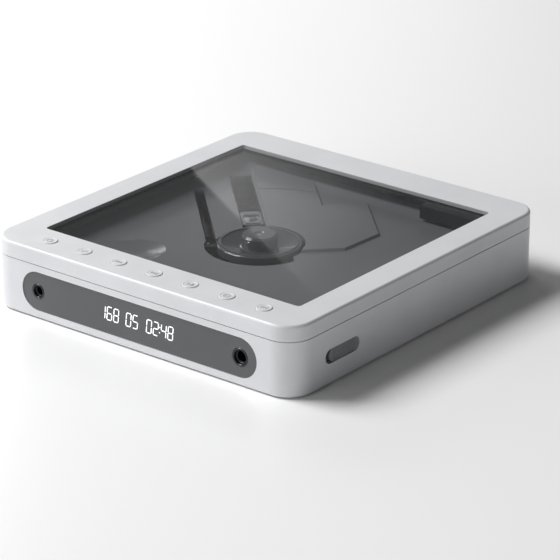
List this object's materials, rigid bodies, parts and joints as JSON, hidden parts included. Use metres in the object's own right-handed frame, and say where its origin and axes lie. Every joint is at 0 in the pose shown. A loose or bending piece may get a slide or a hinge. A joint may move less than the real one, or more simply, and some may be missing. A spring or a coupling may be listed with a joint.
{
  "type": "wall mounted disc player",
  "caption": "Flat square disc player: hinged windowed lid with a row of keys, turntable and diagonal pickup drive under it, front display and sockets, wall keyholes.",
  "frame": {"origin": "middle of the resting plane, under the soles of the feet", "axes": "+X to the right seen from the front panel, +Y to the hinge at the back, +Z up out of the window; hung on a wall, +Y points up and +Z into the room"},
  "size_m": [0.155, 0.163, 0.0303],
  "materials": {
    "shell_white": "satin moulded",
    "lid_white": "satin moulded",
    "window_smoke": "polished, smoked",
    "deck_grey": "glossy moulded",
    "panel_black": "glossy, smoked",
    "black_plastic": "fine moulded",
    "table_grey": "glossy moulded",
    "knob_grey": "ribbed",
    "steel": "turned",
    "chrome_trim": "plated",
    "brass_pinion": "cut",
    "gear_plastic": "moulded",
    "board_green": "solder mask",
    "battery_wrap": "foil wrap",
    "foot_rubber": "moulded",
    "lens_glass": "coated",
    "cable_film": "polyimide film",
    "tape_black": "foam tape"
  },
  "bodies": {
    "base": {"bottom_case": "shell_white", "rubber_feet": "foot_rubber", "case_screws": "steel", "deck": "deck_grey", "hinge_pins": "steel", "front_panel": "panel_black", "display_module": "black_plastic", "display_board": "board_green", "main_board": "board_green", "small_jack": "black_plastic", "small_jack_ring": "chrome_trim", "large_jack": "black_plastic", "large_jack_ring": "chrome_trim", "battery": "battery_wrap", "usb_inlet": "steel", "usb_board": "board_green", "drive_chassis": "black_plastic", "damper_grommets": "foot_rubber", "damper_screws": "steel", "guide_rod": "steel", "spindle_motor": "steel", "sled_motor": "steel"},
    "lid": {"lid_frame": "lid_white", "window_bezel": "black_plastic", "window_tape": "tape_black", "window": "window_smoke", "cable_cover": "black_plastic", "key_cable": "cable_film", "lid_hook": "black_plastic", "key_board": "board_green", "key_board_screws": "steel"},
    "turntable": {"turntable": "table_grey", "motor_shaft": "steel", "clamp_balls": "chrome_trim"},
    "pickup": {"pickup_sled": "black_plastic", "pickup_yoke": "steel", "pickup_lens": "lens_glass"},
    "feed_screw": {"feed_screw": "steel", "screw_gear": "gear_plastic"},
    "pinion": {"motor_pinion": "brass_pinion"},
    "latch": {"latch_bar": "black_plastic", "slide_knob": "knob_grey"},
    "key_1": {"key_1": "lid_white"},
    "key_2": {"key_2": "lid_white"},
    "key_3": {"key_3": "lid_white"},
    "key_4": {"key_4": "lid_white"},
    "key_5": {"key_5": "lid_white"},
    "key_6": {"key_6": "lid_white"},
    "key_7": {"key_7": "lid_white"}
  },
  "joints": [
    {"name": "lid_hinge", "type": "hinge", "parent": "base", "child": "lid", "pos_m": [0, 0.0795, 0.02325], "axis": [-1, 0, 0], "range_deg": [0, 70]},
    {"name": "turntable_spin", "type": "hinge", "parent": "base", "child": "turntable", "pos_m": [0, -0.0055, 0.022], "axis": [0, 0, 1], "continuous": true},
    {"name": "pickup_slide", "type": "slide", "parent": "base", "child": "pickup", "axis": [-0.7071, 0.7071, 0], "range_m": [-0.0055, 0.0285]},
    {"name": "screw_turn", "type": "hinge", "parent": "base", "child": "feed_screw", "pos_m": [0.01351, 0.00801, 0.0142], "axis": [-0.7071, 0.7071, 0], "range_deg": [-661, 3421]},
    {"name": "pinion_turn", "type": "hinge", "parent": "base", "child": "pinion", "pos_m": [0.01775, 0.01225, 0.0142], "axis": [-0.7071, 0.7071, 0], "range_deg": [-6841, 1321]},
    {"name": "release_slide", "type": "slide", "parent": "base", "child": "latch", "axis": [0, -1, 0], "range_m": [0, 0.0025], "stiffness_N_per_m": 300, "springref_m": -0.003},
    {"name": "key_1_press", "type": "slide", "parent": "lid", "child": "key_1", "axis": [0, 0, -1], "range_m": [0, 0.0004], "stiffness_N_per_m": 800, "springref_m": -0.001},
    {"name": "key_2_press", "type": "slide", "parent": "lid", "child": "key_2", "axis": [0, 0, -1], "range_m": [0, 0.0004], "stiffness_N_per_m": 800, "springref_m": -0.001},
    {"name": "key_3_press", "type": "slide", "parent": "lid", "child": "key_3", "axis": [0, 0, -1], "range_m": [0, 0.0004], "stiffness_N_per_m": 800, "springref_m": -0.001},
    {"name": "key_4_press", "type": "slide", "parent": "lid", "child": "key_4", "axis": [0, 0, -1], "range_m": [0, 0.0004], "stiffness_N_per_m": 800, "springref_m": -0.001},
    {"name": "key_5_press", "type": "slide", "parent": "lid", "child": "key_5", "axis": [0, 0, -1], "range_m": [0, 0.0004], "stiffness_N_per_m": 800, "springref_m": -0.001},
    {"name": "key_6_press", "type": "slide", "parent": "lid", "child": "key_6", "axis": [0, 0, -1], "range_m": [0, 0.0004], "stiffness_N_per_m": 800, "springref_m": -0.001},
    {"name": "key_7_press", "type": "slide", "parent": "lid", "child": "key_7", "axis": [0, 0, -1], "range_m": [0, 0.0004], "stiffness_N_per_m": 800, "springref_m": -0.001}
  ],
  "couplings": [
    {"joint": "screw_turn", "follows": "pickup_slide", "rad_per_m": 2094.4},
    {"joint": "pinion_turn", "follows": "pickup_slide", "rad_per_m": -4188.8}
  ]
}
